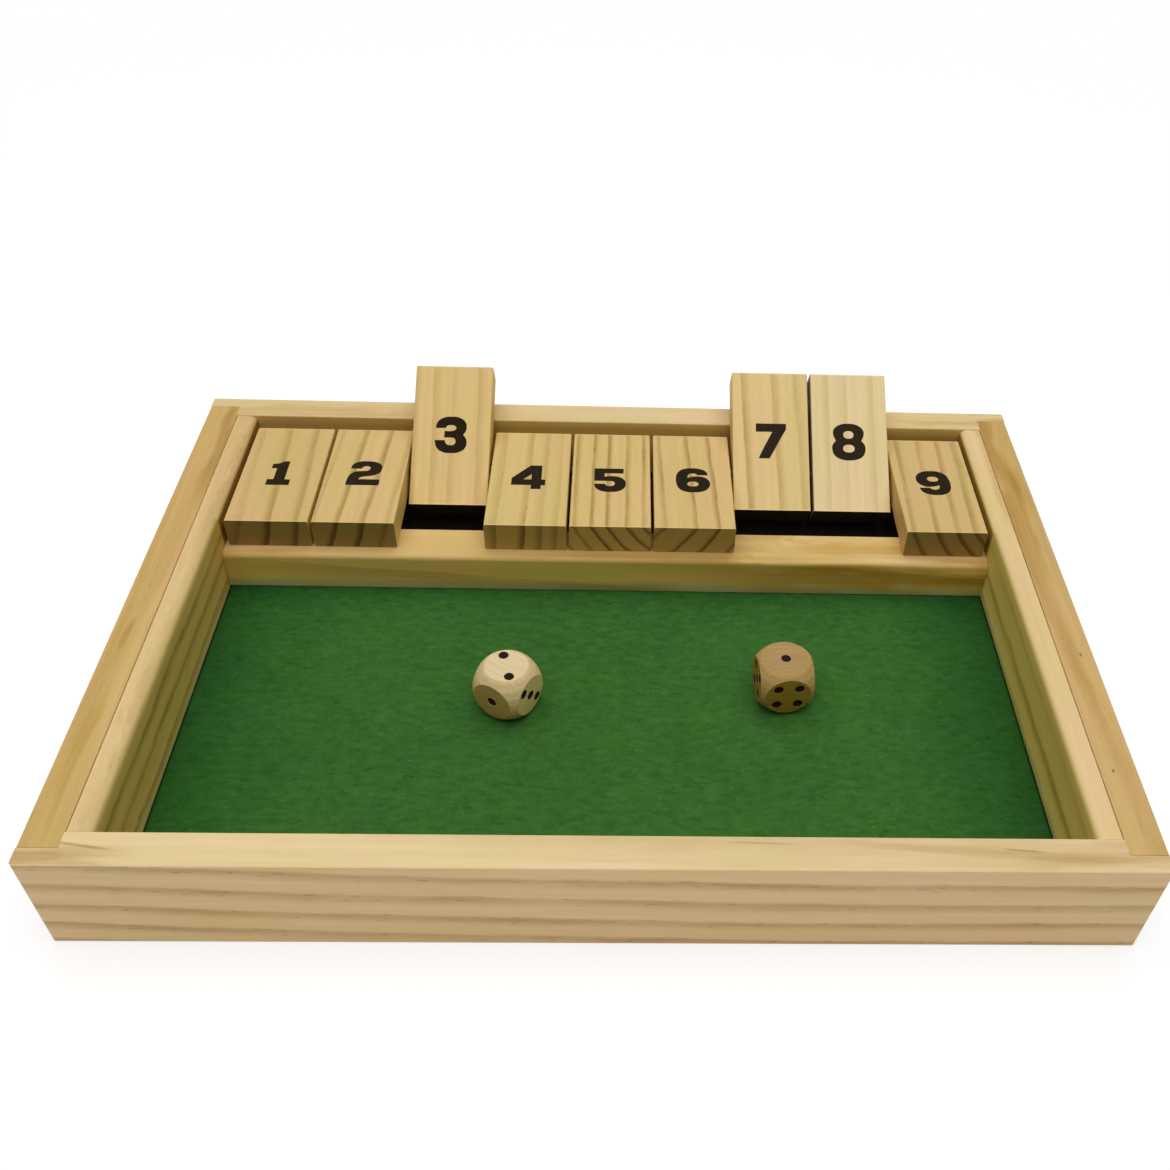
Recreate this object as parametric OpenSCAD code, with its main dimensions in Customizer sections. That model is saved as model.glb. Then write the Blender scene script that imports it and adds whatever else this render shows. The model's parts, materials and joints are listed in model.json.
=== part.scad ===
// Shut the box game: a pine tray with nine hinged number tiles, a felt dice tray and two dice.
// Millimetres. The origin is on the table under the middle of the tray, +X to the player's
// right, +Y away from the player and +Z up.

/* [Tray frame] */
// Outside width of the tray, left to right
outer_w = 280; // [224:1:340]
// Outside depth of the tray, front to back
outer_d = 197; // [160:1:240]
// Height of the four rails
outer_h = 33.5; // [29:0.5:42]
// Thickness of the four rails
rail_t = 10; // [8:0.5:13]
// Thickness of the tongue that covers a side rail's end
tongue_t = 5; // [3:0.5:6]
// Radius that eases a rail's long edges
rail_ease = 0.5; // [0.2:0.1:1]
// Radius of the tray's four upright corners
corner_ease = 1; // [0.4:0.1:2]

/* [Base board] */
// Height of the groove's lower lip, under the base board
lip_h = 3; // [2:0.5:5]
// Thickness of the base board
base_t = 5; // [3:0.5:7]
// Depth of the groove that holds the base board
groove_d = 4; // [2.5:0.5:5]
// Play of the base board in its groove
base_play = 0.2; // [0.1:0.05:0.5]

/* [Liners and divider] */
// Thickness of the strip that lines each side and carries the rod
liner_t = 6.7; // [5:0.1:9]
// Seam between a liner and its rail
liner_seam = 0.1; // [0.1:0.05:0.5]
// How far a liner's top lies below the rails
liner_drop = 0.4; // [0:0.1:2]
// Radius along a liner's inner top edge
liner_round = 2.25; // [1:0.25:4.5]
// Radius that eases the two edges along the seam
seam_ease = 0.2; // [0.1:0.05:0.5]
// Depth of the divider bar, front to back
divider_d = 14.3; // [11:0.1:18]
// Radius along the divider's front top edge
divider_round = 1.5; // [0.5:0.25:3]
// Radius that eases the divider's back top edge
divider_ease = 0.6; // [0.2:0.1:1.5]
// Gap at the ends of a strip fitted between two others
end_play = 0.1; // [0.05:0.05:0.4]

/* [Tiles] */
// Length of a tile, front to back as it lies
tile_len = 50.5; // [42:0.5:62]
// Thickness of a tile
tile_t = 9.8; // [8:0.2:12]
// Radius along a tile's four long edges
tile_round = 0.6; // [0.4:0.1:2]
// Gap between two tiles
tile_gap = 1; // [0.6:0.1:2]
// Gap between an end tile and its liner
side_gap = 1.5; // [0.4:0.1:2]
// Gap between the lying tiles and the back rail
back_gap = 5.5; // [4:0.25:8]
// How far the divider sticks out in front of the tiles
divider_ledge = 4.6; // [3:0.1:7]
// Gap under a tile that lies on the divider
rest_gap = 0.2; // [0.1:0.05:0.5]
// Gap between a raised tile and the rail that it leans on
lean_gap = 0.25; // [0.1:0.05:0.6]
// Gap between the base board and a tile's turning end
swing_gap = 3.5; // [0.5:0.1:5]

/* [Rod] */
// Diameter of the steel rod that the tiles turn on
rod_d = 4; // [3:0.1:5]
// Distance from the rod's centre to a tile's back end
rod_inset = 14.8; // [12:0.1:18]
// Radial play of a tile on the rod
tile_play = 0.1; // [0.02:0.01:0.1]
// Radial play of the rod in the liners
seat_play = 0.03; // [0.01:0.01:0.1]
// Gap between the rod's ends and the side rails
rod_end_gap = 0.3; // [0.1:0.05:0.8]

/* [Felt] */
// Thickness of the felt
felt_t = 2; // [1:0.25:3]
// Gap around the felt
felt_gap = 0.3; // [0.1:0.05:1]

/* [Dice] */
// Distance between two opposite faces of a die
die_size = 16; // [14:0.5:20]
// Diameter that the left die's corners are turned to
die_ball_left = 20.4; // [17:0.1:26]
// Diameter that the right die's corners are turned to
die_ball_right = 21; // [17:0.1:26]
// Distance of a corner pip from the middle lines of its face
pip_offset = 3.1; // [2.6:0.1:3.6]
// Row spacing of the pips on the six
pip_row = 3.5; // [3.2:0.1:3.8]
// Diameter of a pip at the surface
pip_d = 3; // [2:0.1:3.1]
// Depth of a pip
pip_depth = 0.7; // [0.4:0.1:1.2]
// Gap between the felt and a die
die_gap = 0.1; // [0.05:0.05:0.3]

/* [Hidden] */

// The game as it stands: which tiles are up, and where the dice lie from the felt's middle.
tile_count = 9;
raised = [3, 7, 8];
die_left_at = [-29, 6.5];
die_left_yaw = -30.5;
die_right_at = [52.2, 10.9];
die_right_yaw = 5.5;

// Inside faces of the frame.
inner_x = outer_w / 2 - rail_t;
inner_y = outer_d / 2 - rail_t;
bay_x = inner_x - liner_seam - liner_t;

// Heights, from the table up.
base_top = lip_h + base_t;
felt_top = base_top + felt_t;
swing_r = norm([rod_inset, tile_t / 2]);
rod_z = base_top + swing_gap + swing_r;
divider_top = rod_z - tile_t / 2 - rest_gap;
liner_top = outer_h - liner_drop;

// Places, from front to back.
tile_back = inner_y - back_gap;
rod_y = tile_back - rod_inset;
divider_front = tile_back - tile_len - divider_ledge;
felt_d = divider_front + inner_y - 2 * felt_gap;
felt_y = (divider_front - inner_y) / 2;

// The tiles share the width between the liners.
tile_w = (2 * (bay_x - side_gap) - (tile_count - 1) * tile_gap) / tile_count;
tile_pitch = tile_w + tile_gap;

// A raised tile leans until its underside meets the eased inner edge of the back rail.
lean_reach = [inner_y + rail_ease - rod_y, outer_h - rail_ease - rod_z];
lean_offset = tile_t / 2 + rail_ease + lean_gap;
lean = atan2(lean_reach[1], lean_reach[0]) + asin(lean_offset / norm(lean_reach));
flip = 180 - lean;
echo(flip = flip, tile_w = tile_w, rod_y = rod_y, rod_z = rod_z, felt_top = felt_top);

// A pip is a dent left by a round-nosed drill.
pip_ball_r = (pow(pip_d / 2, 2) + pow(pip_depth, 2)) / (2 * pip_depth);

pine = "#e0c694";
liner_pine = "#d3b378";
tile_pine = "#d4b679";
die_maple = "#e6cfa2";

// A rectangle that stands on the middle of its lower edge, with a radius of its own at each
// corner: the lower left, lower right, upper right and upper left one.
module eased_rect(w, h, r) {
    side = [-1, 1, 1, -1];
    up = [-1, -1, 1, 1];
    difference() {
        translate([-w / 2, 0]) square([w, h]);
        for (i = [0:3]) if (r[i] > 0)
            translate([side[i] * w / 2, up[i] > 0 ? h : 0]) difference() {
                square(2 * r[i], center = true);
                translate([-side[i], -up[i]] * r[i]) circle(r[i], $fn = 48);
            }
    }
}

// Bars of a given section, lying along X or along Y. The section's own origin stays in place.
module bar_along_x(length) {
    rotate([90, 0, 90]) linear_extrude(length, center = true) children();
}
module bar_along_y(length) {
    rotate([90, 0, 0]) linear_extrude(length, center = true) children();
}

// The tray's outline in plan, which rounds its upright corners.
module tray_block() {
    linear_extrude(outer_h) translate([0, -outer_d / 2])
        eased_rect(outer_w, outer_d, [for (i = [0:3]) corner_ease]);
}

// The groove of all four rails is one slot, a little taller than the base board.
module base_slot() {
    slot = [2 * (inner_x + groove_d), 2 * (inner_y + groove_d), base_t + base_play];
    translate([-slot[0] / 2, -slot[1] / 2, lip_h]) cube(slot);
}

// A rail's section: long edges eased alike. A side rail is crisper along its liner's seam.
module rail_section(top_left = rail_ease, top_right = rail_ease) {
    eased_rect(rail_t, outer_h, [rail_ease, rail_ease, top_right, top_left]);
}

// The front rail runs the full width. A rabbet at each end takes a side rail and leaves a tongue.
module front_rail() {
    color(pine) intersection() {
        tray_block();
        difference() {
            translate([0, -inner_y - rail_t / 2, 0]) bar_along_x(outer_w) rail_section();
            for (side = [-1, 1])
                translate([side * (inner_x + rail_t), -outer_d / 2 + tongue_t + rail_t, outer_h / 2])
                    cube([2 * rail_t, 2 * rail_t, 2 * outer_h], center = true);
            base_slot();
        }
    }
}

// The back rail is the front rail turned round.
module back_rail() {
    rotate([0, 0, 180]) front_rail();
}

// A side rail fits between the tongues. Its ends stay square, because the tongues cover them.
module side_rail(side) {
    length = outer_d - 2 * tongue_t - 2 * end_play;
    color(pine) difference() {
        translate([side * (inner_x + rail_t / 2), 0, 0]) bar_along_y(length)
            if (side < 0) rail_section(top_right = seam_ease);
            else rail_section(top_left = seam_ease);
        base_slot();
    }
}

// The base board lies in the groove on the lower lip.
module base_board() {
    size = 2 * [inner_x + groove_d - base_play, inner_y + groove_d - base_play];
    color("#191613") translate([0, 0, lip_h]) linear_extrude(base_t) square(size, center = true);
}

// A liner stands on the base board beside the rail. Its through bore holds the rod.
module liner(side) {
    height = liner_top - base_top;
    inner_round = side < 0 ? [0, 0, liner_round, seam_ease] : [0, 0, seam_ease, liner_round];
    color(liner_pine) difference() {
        translate([side * (bay_x + liner_t / 2), 0, base_top])
            bar_along_y(2 * (inner_y - end_play)) eased_rect(liner_t, height, inner_round);
        translate([side * (bay_x + liner_t / 2), rod_y, rod_z]) rotate([0, 90, 0])
            cylinder(h = 2 * liner_t, r = rod_d / 2 + seat_play, center = true, $fn = 48);
    }
}

// The divider stands across the tray. Lying tiles rest on it, and the felt ends at it.
module divider_bar() {
    height = divider_top - base_top;
    color(pine) translate([0, divider_front + divider_d / 2, base_top])
        bar_along_x(2 * (bay_x - end_play))
            eased_rect(divider_d, height, [0, 0, divider_ease, divider_round]);
}

// The felt covers the floor of the dice tray.
module felt_lining() {
    color("#38642a") translate([0, felt_y, base_top]) linear_extrude(felt_t)
        square([2 * (bay_x - felt_gap), felt_d], center = true);
}

// One plain steel rod carries all nine tiles.
module pivot_rod() {
    length = 2 * (inner_x - rod_end_gap);
    color("silver") translate([0, rod_y, rod_z]) rotate([0, 90, 0])
        cylinder(h = length, d = rod_d, center = true, $fn = 48);
}

// A tile round the rod's centre, lying flat with its free end to the front.
module lying_tile() {
    difference() {
        translate([0, rod_inset - tile_len / 2, -tile_t / 2]) bar_along_y(tile_len)
            eased_rect(tile_w, tile_t, [for (i = [0:3]) tile_round]);
        rotate([0, 90, 0])
            cylinder(h = 2 * tile_w, r = rod_d / 2 + tile_play, center = true, $fn = 48);
    }
}

// Tile number n in its place, lying or raised.
module tile(n) {
    x = (n - (tile_count + 1) / 2) * tile_pitch;
    turn = len(search(n, raised)) > 0 ? flip : 0;
    color(tile_pine) translate([x, rod_y, rod_z]) rotate([-turn, 0, 0]) lying_tile();
}

// Where the pips of each face lie, across and up the face.
function pips(face) =
    let (
        middle = [[0, 0]],
        falling = [[-pip_offset, pip_offset], [pip_offset, -pip_offset]],
        rising = [[pip_offset, pip_offset], [-pip_offset, -pip_offset]],
        rows = [for (x = [-1, 1], y = [-1:1]) [x * pip_offset, y * pip_row]]
    )
    face == 1 ? middle
    : face == 2 ? falling
    : face == 3 ? concat(middle, rising)
    : face == 4 ? concat(falling, rising)
    : face == 5 ? concat(middle, falling, rising)
    : rows;

// A die round its own middle: a cube turned to a ball at its corners, with opposite faces that
// add up to seven. Each face is drilled as seen from outside, with the die turned to face it.
module die(ball_d) {
    faces = [[1, [0, 0, 0]], [6, [180, 0, 0]], [4, [90, 0, 0]], [3, [90, 0, 180]],
             [2, [90, 0, -90]], [5, [90, 0, 90]]];
    color(die_maple) difference() {
        intersection() {
            cube(die_size, center = true);
            sphere(d = ball_d, $fn = 96);
        }
        for (face = faces) rotate(face[1])
            for (at = pips(face[0]))
                translate([at[0], at[1], die_size / 2 + pip_ball_r - pip_depth])
                    sphere(pip_ball_r, $fn = 48);
    }
}

// Sets a die down on the felt.
module on_felt(at, yaw) {
    translate([at[0], felt_y + at[1], felt_top + die_gap + die_size / 2]) rotate([0, 0, yaw])
        children();
}

// The left die shows two on top, with one to the left and three to the right.
module die_left() {
    on_felt(die_left_at, die_left_yaw) rotate([0, 90, -90]) die(die_ball_left);
}

// The right die shows one on top and four in front. Its faces run the other way round.
module die_right() {
    on_felt(die_right_at, die_right_yaw) mirror([1, 0, 0]) die(die_ball_right);
}

front_rail();
back_rail();
side_rail(-1);  // left_rail
side_rail(1);  // right_rail
base_board();
liner(-1);  // left_liner
liner(1);  // right_liner
divider_bar();
felt_lining();
pivot_rod();
for (n = [1:tile_count])
    tile(n);
die_left();
die_right();
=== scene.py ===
import collections
import json
import math
import random

import bmesh
import bpy
from mathutils import Matrix, Vector, noise


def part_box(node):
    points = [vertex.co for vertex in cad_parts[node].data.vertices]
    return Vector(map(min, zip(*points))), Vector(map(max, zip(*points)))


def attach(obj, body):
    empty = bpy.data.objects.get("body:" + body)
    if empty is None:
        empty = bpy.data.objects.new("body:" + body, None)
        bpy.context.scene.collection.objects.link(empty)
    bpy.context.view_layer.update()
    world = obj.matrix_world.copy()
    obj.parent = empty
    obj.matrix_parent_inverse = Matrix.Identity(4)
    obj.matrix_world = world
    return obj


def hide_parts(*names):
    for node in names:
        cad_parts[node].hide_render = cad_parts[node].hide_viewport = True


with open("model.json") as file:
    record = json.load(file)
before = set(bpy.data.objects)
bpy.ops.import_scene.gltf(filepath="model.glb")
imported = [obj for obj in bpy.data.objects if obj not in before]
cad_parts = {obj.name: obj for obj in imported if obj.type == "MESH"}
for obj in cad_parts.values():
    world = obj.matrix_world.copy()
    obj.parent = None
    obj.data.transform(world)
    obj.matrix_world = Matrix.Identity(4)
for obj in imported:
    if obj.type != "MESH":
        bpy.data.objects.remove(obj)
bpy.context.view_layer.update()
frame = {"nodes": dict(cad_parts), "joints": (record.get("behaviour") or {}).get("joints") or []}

# Camera, floor and lamp. The photograph looks down at about 45 degrees on a white table, with one broad soft
# light overhead: the tops are bright, faces inside the tray get little light, and the outer faces are lit by
# the table. The lens has no distortion, so the far left and right sit a few pixels off the photograph.
scene = bpy.context.scene
scene.view_settings.view_transform = "Standard"

camera = bpy.data.objects.new("camera", bpy.data.cameras.new("camera"))
scene.collection.objects.link(camera)
camera.location = (0.00316, -0.26546, 0.2752)
camera.rotation_euler = (math.radians(45.411), math.radians(-2.0), math.radians(-0.945))
camera.data.sensor_width = 36
camera.data.lens = 36.998
camera.data.shift_x = -0.06596
camera.data.shift_y = 0.04768
camera.data.clip_start = 0.01
scene.camera = camera

# settings that many nodes share
LARGER = {"operation": "MAXIMUM"}
LENGTH = {"operation": "LENGTH"}
SMOOTH = {"interpolation_type": "SMOOTHSTEP"}
WHITE = (1, 1, 1, 1)


def add(tree, kind, settings, *inputs, **named):
    """Adds one node. An input is a number or colour, or a node or socket that is linked to it."""
    made = tree.nodes.new("ShaderNode" + kind)
    for key, value in settings.items():
        setattr(made, key, value)
    shown = [s for s in made.inputs if s.enabled]
    pairs = list(zip(shown, inputs))
    pairs += [(made.inputs[key.replace("_", " ")], value) for key, value in named.items()]
    for socket, value in pairs:
        if isinstance(value, bpy.types.Node):
            value = next(s for s in value.outputs if s.enabled)
        if isinstance(value, bpy.types.NodeSocket):
            tree.links.new(value, socket)
        else:
            socket.default_value = value
    return made


def new_material(name):
    """A material with no nodes yet, and its node tree."""
    made = bpy.data.materials.new(name)
    made.use_nodes = True
    made.node_tree.nodes.clear()
    return made, made.node_tree


def shows_background(tree):
    """1 for the camera's rays and for those in gloss and glass, which show the white background; else 0."""
    path = add(tree, "LightPath", {})
    shows = add(tree, "Math", LARGER, path.outputs["Is Camera Ray"], path.outputs["Is Glossy Ray"])
    return add(tree, "Math", LARGER, shows, path.outputs["Is Transmission Ray"])


lamp = bpy.data.objects.new("softbox", bpy.data.lights.new("softbox", "AREA"))
scene.collection.objects.link(lamp)
lamp.location = (0, 0, 1.3)
lamp.data.shape = "DISK"
lamp.data.size = 2.2
lamp.data.energy = 25.4

world = bpy.data.worlds.new("studio")
scene.world = world
world.use_nodes = True
world.node_tree.nodes.clear()
dim = add(world.node_tree, "Background", {}, WHITE, 0.10)
bright = add(world.node_tree, "Background", {}, WHITE, 1.0)
backdrop = add(world.node_tree, "MixShader", {}, shows_background(world.node_tree), dim, bright)
add(world.node_tree, "OutputWorld", {}, backdrop)


def white_table(name):
    """A matt white top. Where it shows, it glows so far that the object's shadow stays a soft grey."""
    made, tree = new_material(name)
    lit = add(tree, "BsdfDiffuse", {}, (0.93, 0.93, 0.93, 1))
    shadow = add(tree, "BsdfDiffuse", {}, (0.42, 0.42, 0.42, 1))
    shown = add(tree, "AddShader", {}, shadow, add(tree, "Emission", {}, WHITE, 0.64))
    # from 0.25 to 0.7 m away the table runs into the white behind it
    away = add(tree, "VectorMath", LENGTH, add(tree, "TexCoord", {}).outputs["Object"])
    away = add(tree, "MapRange", SMOOTH, away, 0.25, 0.7, 0.0, 1.0)
    shown = add(tree, "MixShader", {}, away, shown, add(tree, "Emission", {}, WHITE, 1.0))
    add(tree, "OutputMaterial", {}, add(tree, "MixShader", {}, shows_background(tree), lit, shown))
    return made


bpy.ops.mesh.primitive_plane_add(size=8, location=(0, 0, -0.00005))
floor = bpy.context.object
floor.name = "floor"
floor.data.materials.append(white_table("white_table"))

# Front rail: one sawn and planed pine stick with a rabbet at each end, glued over the side rails, then sanded
# and clear lacquered. Its face shows four or five soft rings that fall a little to the right, with short dark
# dashes where the saw cut the late wood; its top is nearly plain.
MM = 1000.0
MULTIPLY = {"operation": "MULTIPLY"}
MULTIPLY_ADD = {"operation": "MULTIPLY_ADD"}
SCALE = {"operation": "SCALE"}
SUM = {"operation": "ADD"}
SUBTRACT = {"operation": "SUBTRACT"}
ABSOLUTE = {"operation": "ABSOLUTE"}
POWER = {"operation": "POWER"}
RGBA = {"data_type": "RGBA"}

Section = collections.namedtuple("Section", "near bottom far top")


def section_of(node, length):
    """A stick's section in mm, as the frame has it: across from near to far, and up from bottom to top."""
    low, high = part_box(node)
    across = "y" if length == "X" else "x"
    return Section(*(round(v * MM, 3) for v in (getattr(low, across), low.z, getattr(high, across), high.z)))


def linear(hex_colour):
    """An sRGB colour such as "#e1c897" as linear red, green, blue and alpha."""
    parts = [int(hex_colour[k:k + 2], 16) / 255 for k in (1, 3, 5)]
    return (*[p / 12.92 if p <= 0.04045 else ((p + 0.055) / 1.055) ** 2.4 for p in parts], 1.0)


def rings_through(heart, section, years, reach, seed):
    """Each ring's distance from the pith and its strength: the years given, then more that fill the stick."""
    luck = random.Random(seed)
    corners = [math.dist(heart, (across, up)) for across in section[::2] for up in section[1::2]]
    rings = sorted((math.dist(heart, (across, up)), strength) for across, up, strength in years)
    gap = (rings[-1][0] - rings[0][0]) / (len(rings) - 1)
    while rings[0][0] > min(corners) - reach:
        rings.insert(0, (rings[0][0] - gap * luck.uniform(0.85, 1.15), luck.uniform(0.5, 1.0)))
    while rings[-1][0] < max(corners) + reach:
        rings.append((rings[-1][0] + gap * luck.uniform(0.85, 1.15), luck.uniform(0.5, 1.0)))
    return rings


def ring_tone(tree, radius, rings, rise, fall):
    """The share of late wood at a distance from the pith: early wood, a slow turn to dark, a quick end."""
    # the tone of early wood, and how many mm of it are left between two close rings
    early = 0.02
    least_early = 0.2
    inmost = rings[0][0] - rise - 1
    outmost = rings[-1][0] + fall + 1
    tone = add(tree, "ValToRGB", {}, add(tree, "MapRange", {}, radius, inmost, outmost, 0.0, 1.0))
    ramp = tone.color_ramp
    ramp.interpolation = "EASE"
    for stop in ramp.elements:
        stop.color = (early, early, early, 1)
    before = inmost
    for at, strength in rings:
        start = max(at - rise, before + least_early)
        for place, value in ((start, early), (at, strength), (at + fall, early)):
            ramp.elements.new((place - inmost) / (outmost - inmost)).color = (value, value, value, 1)
        before = at + fall
    return tone


def pine(name, length, section, heart, years, early, late, seed, slope=(0, 0), bow=0.0, middle=0.0, rise=2.6,
         fall=0.8, contrast=1.0, flecks=(1.0, 1.0), sway=1.0, waves=1.0, tipped=None, tips=None, reach=5.0,
         low_side=(1, 1, 1), high_side=(1, 1, 1), turn=(0.55, 0.95), worn=0.5, edge=None, ends=(1.9, 1.9),
         streaks=(), bands=()):
    """Lacquered pine: the same growth rings show on every side of a stick and on its ends. Sizes are in mm.

    length is the axis that the grain runs along. section is the stick's section and heart the pith's place
    in it, across and up. years are the points that dark rings pass through, with their strength, at the place
    middle along the grain; more rings follow at the same mean distance, until they are reach past the stick.
    slope is the rings' drift across and up for each mm along, and bow how much the drift bends. rise and fall
    are how slowly a ring darkens and how fast it ends. early and late are the colours of the two woods, and
    contrast how much of the late one shows. flecks are for the top and for the upright faces. sway is the
    rings' long drift and waves their short wobble. tipped is a raised tile's rod and how far it has turned,
    and tips where the stick ends along the grain, if its end edges get a painted highlight. low_side and
    high_side paint light and shade onto the upright faces on the near and on the far side of the section,
    each lighter, darker or more amber as the light falls on it, and turn is how far round an edge that tint
    starts and is full. worn is how pale the rounded edges are, as sanded wood under a painted highlight, and
    edge a painted shade on a rounded edge. ends are how light the two ends are. streaks are single streaks,
    each with the face ("top", "side", "low" or "high"), its two ends (along, across), its half width, and
    how much of the red, green and blue it leaves. bands are straight: a face, where each starts and is full,
    and what it leaves. Some streaks and bands are painted highlights and painted shade.
    """
    made, tree = new_material(name)
    place = add(tree, "TexCoord", {})
    where = add(tree, "VectorMath", SCALE, place.outputs["Object"], Scale=MM)
    facing = place.outputs["Normal"]
    if tipped:
        # the coordinates are turned back about the rod, so that the grain follows the tile
        rod, angle = tipped
        where = add(tree, "VectorMath", SUBTRACT, where, rod)
        where = add(tree, "VectorRotate", {"rotation_type": "X_AXIS"}, where, Angle=angle)
        where = add(tree, "VectorMath", SUM, where, rod)
        facing = add(tree, "VectorRotate", {"rotation_type": "X_AXIS"}, facing, Angle=angle)
    axes = add(tree, "SeparateXYZ", {}, where)
    run = axes.outputs[length]
    side = "Y" if length == "X" else "X"
    grain = add(tree, "CombineXYZ", {}, axes.outputs[side], axes.outputs["Z"], run)

    def ripple(scale, shift, detail, roughness=0.5):
        """Noise in grain coordinates: scale is across, up and along, in waves for each mm."""
        spot = add(tree, "VectorMath", MULTIPLY, grain, scale)
        spot = add(tree, "VectorMath", SUM, spot, (seed * shift, seed, seed * 0.37))
        return add(tree, "TexNoise", {}, spot, Scale=1.0, Detail=detail, Roughness=roughness)

    # the distance from the pith; it sways over 100 mm, wobbles over 15 mm and is ragged over 3 mm
    spot = add(tree, "VectorMath", SUBTRACT, grain, (*heart, 0))
    along = add(tree, "Math", SUBTRACT, run, middle)
    drift = add(tree, "VectorMath", MULTIPLY, add(tree, "CombineXYZ", {}, along, along, 0.0), (*slope, 0))
    spot = add(tree, "VectorMath", SUBTRACT, spot, drift)
    if bow:
        bend = add(tree, "Math", POWER, add(tree, "Math", ABSOLUTE, along), 2.0)
        bend = add(tree, "Math", MULTIPLY, bend, bow)
        spot = add(tree, "VectorMath", SUBTRACT, spot, add(tree, "CombineXYZ", {}, 0.0, bend, 0.0))
    for scale, shift, size in (((0.035, 0.035, 0.012), 1.0, 3.4 * sway),
                               ((0.22, 0.22, 0.065), 1.7, 1.5 * waves),
                               ((0.8, 0.8, 0.33), 2.9, 0.8 * waves)):
        push = add(tree, "VectorMath", SUBTRACT, ripple(scale, shift, 2.0).outputs["Color"], (0.5, 0.5, 0.5))
        push = add(tree, "VectorMath", SCALE, push, Scale=size)
        spot = add(tree, "VectorMath", SUM, spot, push)
    radius = add(tree, "VectorMath", LENGTH, add(tree, "VectorMath", MULTIPLY, spot, (1, 1, 0)))

    late_part = ring_tone(tree, radius, rings_through(heart, section, years, reach, seed), rise, fall)
    uneven = add(tree, "MapRange", {}, ripple((0.16, 0.16, 0.03), 2.3, 3.0), 0.35, 0.65, 0.55, 1.0)
    late_wood = add(tree, "Math", MULTIPLY, late_part, uneven)
    late_wood = add(tree, "Math", MULTIPLY, late_wood, contrast)

    # early wood runs from straw to a pinker tone in patches of 10 by 40 mm
    red, green, blue, _ = linear(early)
    straw = (red * 0.965, green, blue * 0.93, 1)
    pinker = (red * 1.03, green * 0.99, blue * 1.06, 1)
    hue = add(tree, "MapRange", {}, ripple((0.08, 0.08, 0.02), 4.1, 2.0), 0.38, 0.62, 0.0, 1.0)
    colour = add(tree, "Mix", RGBA, hue, straw, pinker)
    colour = add(tree, "Mix", RGBA, late_wood, colour, linear(late))

    # fibres: streaks 0.3 mm wide and 10 to 20 mm long, over broader ones of 2 by 80 mm
    fibres = ripple((3.2, 3.2, 0.075), 1.3, 3.0, 0.65)
    tone = add(tree, "MapRange", {}, fibres, 0.25, 0.75, 0.955, 1.04)
    broad = add(tree, "MapRange", {}, ripple((0.5, 0.5, 0.012), 0.3, 2.0), 0.3, 0.7, 0.96, 1.035)
    tone = add(tree, "Math", MULTIPLY, tone, broad)
    colour = add(tree, "VectorMath", SCALE, colour, Scale=tone)

    # how far the surface is a top, an upright face on the near or far side, or an end
    axis = add(tree, "SeparateXYZ", {}, add(tree, "VectorMath", ABSOLUTE, facing))
    signed = add(tree, "SeparateXYZ", {}, facing)
    stands = add(tree, "MapRange", SMOOTH, axis.outputs[side], *turn, 0.0, 1.0)
    far_half = add(tree, "MapRange", {}, signed.outputs[side], -0.2, 0.2, 0.0, 1.0)
    on_face = {"side": stands, "top": add(tree, "Math", SUBTRACT, 1.0, stands),
               "high": add(tree, "Math", MULTIPLY, stands, far_half)}
    on_face["low"] = add(tree, "Math", SUBTRACT, stands, on_face["high"])
    end = add(tree, "MapRange", SMOOTH, axis.outputs[length], 0.6, 0.95, 0.0, 1.0)

    # dashes: cut resin canals, 0.3 mm by 2 to 4 mm, mostly in the late wood
    dashes = add(tree, "MapRange", SMOOTH, ripple((1.5, 1.5, 0.24), 0.9, 1.5), 0.62, 0.72, 0.0, 1.0)
    near_late = add(tree, "MapRange", {}, late_part, 0.12, 0.7, 0.03, 1.0)
    on_top, on_side = (0.5 * share for share in flecks)
    dashes = add(tree, "Math", MULTIPLY, dashes, near_late)
    dashes = add(tree, "Math", MULTIPLY, dashes, add(tree, "MapRange", {}, stands, 0.0, 1.0, on_top, on_side))
    colour = add(tree, "Mix", RGBA, dashes, colour, linear("#75592b"))

    # where an edge is sanded round the lacquer is thin and the wood is paler, and a painted highlight
    # lightens it further; the tiles' end edges get the same painted highlight
    pale = (min(red * 1.16, 1), min(green * 1.18, 1), min(blue * 1.25, 1), 1)
    edge_highlight = add(tree, "Math", MULTIPLY, axis.outputs[side], axis.outputs["Z"])
    edge_highlight = add(tree, "MapRange", {}, edge_highlight, 0.15, 0.45, 0.0, worn)
    if tips:
        first_tip_highlight = add(tree, "MapRange", {}, run, tips[0] + 0.1, tips[0] + 0.6, 0.7, 0.0)
        last_tip_highlight = add(tree, "MapRange", {}, run, tips[1] - 0.6, tips[1] - 0.1, 0.0, 0.7)
        edge_highlight = add(tree, "Math", LARGER, edge_highlight, add(tree, "Math", LARGER, first_tip_highlight, last_tip_highlight))
    colour = add(tree, "Mix", RGBA, edge_highlight, colour, pale)

    # painted light and shade: upright faces on the near and far side, and a rounded edge, each in its own
    # tint
    for face, tint in (("low", low_side), ("high", high_side)):
        tinted = add(tree, "VectorMath", MULTIPLY, colour, tint)
        colour = add(tree, "Mix", RGBA, on_face[face], colour, tinted)
    if edge:
        round_edge_shade = add(tree, "MapRange", {}, axis.outputs[side], 0.6, 0.9, 0.0, 1.0)
        round_edge_shade = add(tree, "Math", MULTIPLY, round_edge_shade,
                         add(tree, "MapRange", {}, axis.outputs["Z"], 0.0, 0.25, 0.0, 1.0))
        colour = add(tree, "Mix", RGBA, round_edge_shade, colour, add(tree, "VectorMath", MULTIPLY, colour, edge))
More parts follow.
